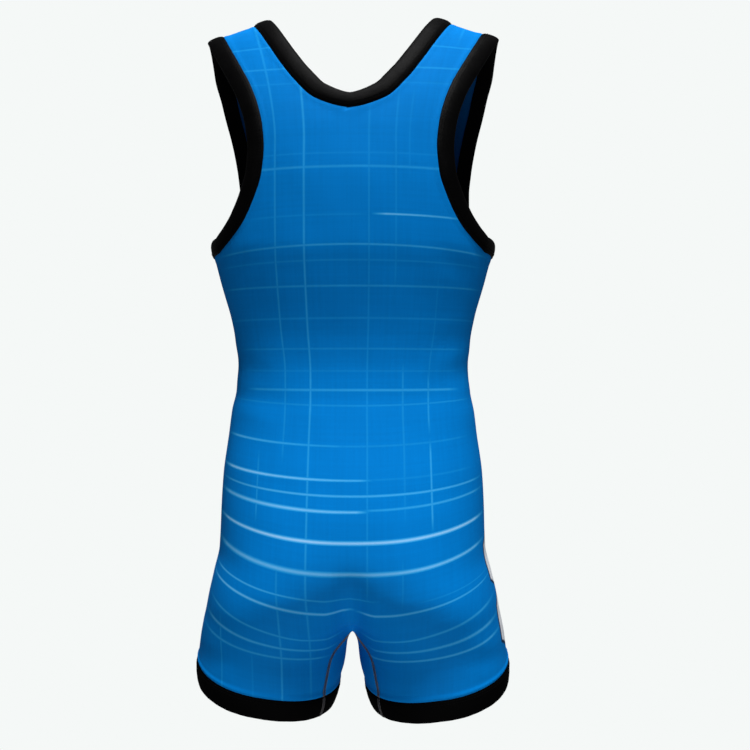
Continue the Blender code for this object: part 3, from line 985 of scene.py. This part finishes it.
def blue_knit(name, level_lines, upright_lines):
    graph = Graph(name)
    across, height = graph.places("print")
    ink = None
    for along, aside, lines in ((across, height, level_lines), (height, across, upright_lines)):
        for line in lines:
            found = printed_line(graph, along, aside, line)
            ink = found if ink is None else graph.maths("MAXIMUM", ink, found)
    streaks = graph.noise(graph.stretched(graph.flat("print"), (260.0, 9.0, 0.0)), 1.0, 3.0, 0.6)
    faint = graph.noise(graph.stretched(graph.flat("print"), (7.0, 300.0, 0.0)), 1.0, 3.0, 0.6)
    cloudy = graph.noise(graph.flat("print"), 7.0, 2.0)
    ink = graph.maths("MULTIPLY", ink, graph.scaled(cloudy, 0.4, 0.8), clamp=True)
    mottle = graph.scaled(graph.maths("ADD", streaks, faint), 0.9, -0.4, clamp=True)
    base = graph.mix(mottle, DEEP_BLUE, BLUE)
    printed = graph.maths("MULTIPLY", ink, graph.maths("SUBTRACT", 1.0, graph.attribute("plain")))
    tint = graph.mix(graph.maths("MULTIPLY", ink, ink), FAINT_INK, FULL_INK)
    colour = graph.mix(printed, base, tint)
    graph.set("Base Color", lozenge_print(graph, colour))
    knit_finish(graph, 0.09)
    return graph.material


def lozenge_print(graph, colour):
    """The pale lozenges, each with a dark edge."""
    _, level = graph.places("knit")
    wide = graph.maths("ABSOLUTE", graph.maths("SUBTRACT", graph.attribute("from_side"), LOZENGE_MIDDLE))
    wide = graph.scaled(wide, 1.0 / LOZENGE_HALF_WIDTH)
    nearest = None
    for middle in LOZENGES:
        tall = graph.maths("ABSOLUTE", graph.maths("SUBTRACT", level, float(middle)))
        tall = graph.scaled(tall, 1.0 / LOZENGE_HALF_HEIGHT)
        slants = (graph.scaled(way, slant) for way, slant in zip((wide, tall), LOZENGE_SLANT))
        corner = graph.maths("ADD", *slants)
        size = graph.maths("MAXIMUM", corner, graph.maths("MAXIMUM", wide, tall))
        nearest = size if nearest is None else graph.maths("MINIMUM", nearest, size)
    for limit, tone in ((LOZENGE_OUTER, DARK_EDGE), (LOZENGE_INNER, WHITE)):
        within = graph.scaled(nearest, -LOZENGE_SHARPNESS, LOZENGE_SHARPNESS * limit, clamp=True)
        colour = graph.mix(within, colour, tone)
    return colour


def shaded_inner_knit():
    """The inside of the cloth, where the print doesn't show; its much darker blue is painted shade inside
    the garment, over a slightly duller inner face.
    """
    graph = Graph("blue knit inside")
    graph.set("Base Color", SHADED_INNER_BLUE)
    knit_finish(graph, 0.15)
    return graph.material


def black_knit(name, roughness, gloss, wale, course, depth):
    graph = Graph(name)
    fine = graph.flat("knit")
    worn = graph.noise(graph.stretched(fine, (30.0, 90.0, 0.0)), 1.0, 3.0)
    colour = graph.mix(worn, (0.0006, 0.0006, 0.0007, 1.0), (0.0018, 0.0017, 0.0018, 1.0))
    graph.set("Base Color", colour)
    graph.set("Roughness", graph.scaled(worn, 0.16, roughness - 0.08))
    graph.set("Specular IOR Level", gloss)
    knit = knit_height(graph, fine, wale * MM, course * MM)
    creases = graph.noise(graph.stretched(fine, (150.0, 22.0, 0.0)), 1.0, 2.0)
    graph.bump(graph.maths("ADD", graph.scaled(knit, 0.4), creases), depth * MM)
    return graph.material


def thread(name, colour):
    graph = Graph(name)
    graph.set("Base Color", colour)
    graph.set("Roughness", 0.75)
    graph.set("Specular IOR Level", 0.02)
    position = graph.node("TexCoord").outputs["Object"]
    graph.bump(graph.noise(position, 2600.0, 2.0), 0.08 * MM)
    return graph.material


def pale_floor():
    """A surface of one pale tone in any light."""
    graph = Graph("pale floor")
    graph.set("Base Color", (0.0, 0.0, 0.0, 1.0))
    graph.set("Roughness", 1.0)
    graph.set("Specular IOR Level", 0.0)
    graph.set("Emission Color", BACKDROP)
    graph.set("Emission Strength", 1.0)
    return graph.material


# The room

FLOOR_LEVEL = -1150.0
WALL_AWAY = 2600.0
ROOM_TOP = 6000.0
ROOM_SIDES = 64
SWEEP = 1200.0
SWEEP_STEPS = 12
BACKDROP = (0.913, 0.939, 0.930, 1.0)


def add_room():
    """A pale floor that sweeps up into a wall all round; it throws no light on the cloth."""
    sweep = np.linspace(0, math.pi / 2, SWEEP_STEPS + 1)
    out = np.append(WALL_AWAY + SWEEP * np.sin(sweep), WALL_AWAY + SWEEP)
    up = np.append(FLOOR_LEVEL + SWEEP * (1 - np.cos(sweep)), ROOM_TOP)
    turn = 2 * math.pi * np.arange(ROOM_SIDES) / ROOM_SIDES
    points = [np.outer(out, np.cos(turn)), np.outer(out, np.sin(turn)), np.outer(up, np.ones(ROOM_SIDES))]
    table = ring_table(len(out), ROOM_SIDES)
    faces = [table[0, :-1].tolist(), *corners(table)[:, ::-1].tolist()]
    floor = add_mesh("floor", np.stack(points, axis=-1).reshape(-1, 3), faces, pale_floor())
    floor.visible_diffuse = False
    floor.visible_glossy = False
    floor.visible_shadow = False


def add_light(name, spot, aim, size, power):
    light = bpy.data.lights.new(name, "AREA")
    light.shape = "RECTANGLE"
    light.size, light.size_y = size
    light.energy = power
    obj = add_object(name, light)
    obj.location = spot
    obj.rotation_euler = (Vector(aim) - Vector(spot)).to_track_quat("-Z", "Y").to_euler()


def add_lights():
    add_light("key", (-0.45, 1.7, 5.0), (0.0, 0.0, -0.4), (1.7, 1.2), 500.0)
    add_light("low", (-0.2, 1.5, -2.2), (0.0, 0.0, -0.6), (1.4, 0.8), 20.0)
    add_light("front", (0.2, -3.0, 0.9), (0.0, 0.0, -0.4), (1.6, 1.2), 90.0)
    world = bpy.data.worlds.new("world")
    bpy.context.scene.world = world
    world.use_nodes = True
    background = world.node_tree.nodes["Background"]
    background.inputs["Color"].default_value = (0.95, 0.97, 1.0, 1.0)
    background.inputs["Strength"].default_value = 0.12


def add_camera():
    camera = bpy.data.cameras.new("camera")
    camera.sensor_width = 36.0
    camera.lens = camera.sensor_width * (CAMERA_DISTANCE / PIXEL) / IMAGE
    camera.shift_x = (IMAGE / 2 - EYE_PIXEL_X) / IMAGE
    camera.shift_y = (EYE_PIXEL_Y - IMAGE / 2) / IMAGE
    obj = add_object("camera", camera)
    turn = math.radians(CAMERA_TURN)
    away = CAMERA_DISTANCE * MM
    obj.location = (-away * math.sin(turn), away * math.cos(turn), CAMERA_HEIGHT * MM)
    obj.rotation_euler = (math.pi / 2, 0.0, math.pi + turn)
    bpy.context.scene.camera = obj


def mirrored(points):
    return points * (-1, 1, 1)


def outer_height(profile, share):
    """Height of a trim's outer face over its seam's level, at a share of its width."""
    outer = []
    for point, depth, height in profile:
        if depth == 0:
            outer.append((point, height))
        if point == 1.0:
            break
    return np.interp(share, *zip(*outer))


def on_cloth(grid, spots, rows, column):
    """A line on the cloth's outer face, with its normals and the directions across it."""
    normal = outward(spots[rows, column, 0], spots[rows, column, 1])
    line = grid[rows, column] + normal * (CLOTH / 2 + SEAM_RAISED)
    across = unit(np.cross(np.gradient(line, axis=0), normal))
    return line, normal, across


def over_band(frame):
    """The inseam's line where it goes on over the leg band, drifting towards the inner thigh."""
    share = np.linspace(0.04, 0.97, 24)[:, None]
    seam, across, normal = (v[0] * (1 - share) + v[-1] * share for v in frame)
    height = outer_height(band_profile(), share)
    line = seam + across * share * BAND_WIDTH + normal * height
    return line, unit(normal), unit(np.cross(across, normal))


def on_trim(frame, widths, profile, into):
    """A closed line on a trim, so far in from its seam, with its normals."""
    seam, across, normal = frame
    line = seam + across * into + normal * outer_height(profile, into / widths)[:, None]
    return np.concatenate([line, line[:1]]), np.concatenate([normal, normal[:1]])


def on_both_sides(stitches):
    """The stitches of the left side and their mirror images."""
    turned = [(mirrored(a), mirrored(b), mirrored(lift), radius) for a, b, lift, radius in stitches]
    return stitches + turned


def seam_stitches(back, left, hem_frame):
    """Flat seams: down the sides and over the shoulders; the inseams with their run over the bands."""
    side = on_cloth(left, back, slice(ARM_ROW + 2, None), -1)
    shoulder = on_cloth(left.swapaxes(0, 1), back.swapaxes(0, 1), slice(1, -1), 0)
    inseam = on_cloth(left, back, slice(LEG_ROW + 2, None), 0)
    blue = flatlock(*side) + flatlock(*shoulder)
    grey = flatlock(*inseam) + flatlock(*over_band(hem_frame))
    return on_both_sides(blue), on_both_sides(grey)


def trim_stitches(frames, widths):
    """Two rows of running stitches on every trim, beside its seam."""
    profiles = {"neck": binding_profile(), "arm": binding_profile(), "hem": band_profile()}
    found = []
    for name, profile in profiles.items():
        for into in TRIM_ROWS:
            row = run_of_stitches(*on_trim(frames[name], widths[name], profile, into))
            found += row if name == "neck" else on_both_sides(row)
    return found


def add_trims(frames, widths, binding, band):
    """The five trims: [(piece, node, slot)]."""
    neck = add_trim("neck_edge", frames["neck"], widths["neck"], binding_profile(), 1.0, binding)
    trims = [(neck, "neck_binding", "black_binding")]
    for hand, seed in (("left", 2.5), ("right", 4.0)):
        arm, hem = frames["arm"], frames["hem"]
        if hand == "right":
            arm, hem = tuple(map(mirrored, arm)), tuple(map(mirrored, hem))
        piece = add_trim(f"armhole_edge_{hand}", arm, widths["arm"], binding_profile(), seed, binding)
        trims.append((piece, f"armhole_binding_{hand}", "black_binding"))
        piece = add_trim(f"leg_edge_{hand}", hem, widths["hem"], band_profile(), seed, band)
        trims.append((piece, f"leg_band_{hand}", "black_band"))
    return trims


def main():
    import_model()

    back, front = panel_spots(BACK), panel_spots(FRONT)
    inside = shaded_inner_knit()
    back_blue = blue_knit("blue knit back", BACK_LEVEL, BACK_UPRIGHT)
    front_blue = blue_knit("blue knit front", FRONT_LEVEL, FRONT_UPRIGHT)
    back_cloth, back_left = add_panel("back_cloth", BACK, back, back_blue, inside)
    front_cloth, _ = add_panel("front_cloth", FRONT, front, front_blue, inside)

    frames = {
        "neck": trim_frame(neck_spots(back, front), (0, 0, 1)),
        "arm": trim_frame(arm_spots(back, front), (1, 0, 0.5)),
        "hem": trim_frame(hem_spots(back, front), (0, 0, -1)),
    }
    widths = {
        "neck": neck_widths(frames["neck"][0]),
        "arm": arm_widths(frames["arm"][0]),
        "hem": np.full(len(frames["hem"][0]), BAND_WIDTH),
    }
    binding = black_knit("black binding", 0.45, 0.03, 1.1, 0.9, 0.25)
    band = black_knit("black elastic", 0.7, 0.015, 1.6, 0.8, 0.12)
    trims = add_trims(frames, widths, binding, band)

    blue, grey = seam_stitches(back, back_left, frames["hem"])
    black = trim_stitches(frames, widths)
    threads = [
        add_stitches("side_seam_thread", blue, thread("blue thread", (0.0, 0.17, 0.55, 1.0))),
        add_stitches("inseam_thread", grey, thread("grey thread", (0.17, 0.16, 0.16, 1.0))),
        add_stitches("trim_thread", black, thread("black thread", (0.003, 0.003, 0.0033, 1.0))),
    ]

    panels = [(back_cloth, "back_panel", "blue_knit"), (front_cloth, "front_panel", "blue_knit")]
    for piece, node, slot in panels + trims:
        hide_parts(node)
        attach(piece, "root")
    for piece in threads:
        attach(piece, "root")

    add_room()
    add_lights()
    add_camera()
    bpy.context.scene.view_settings.view_transform = "Standard"


main()
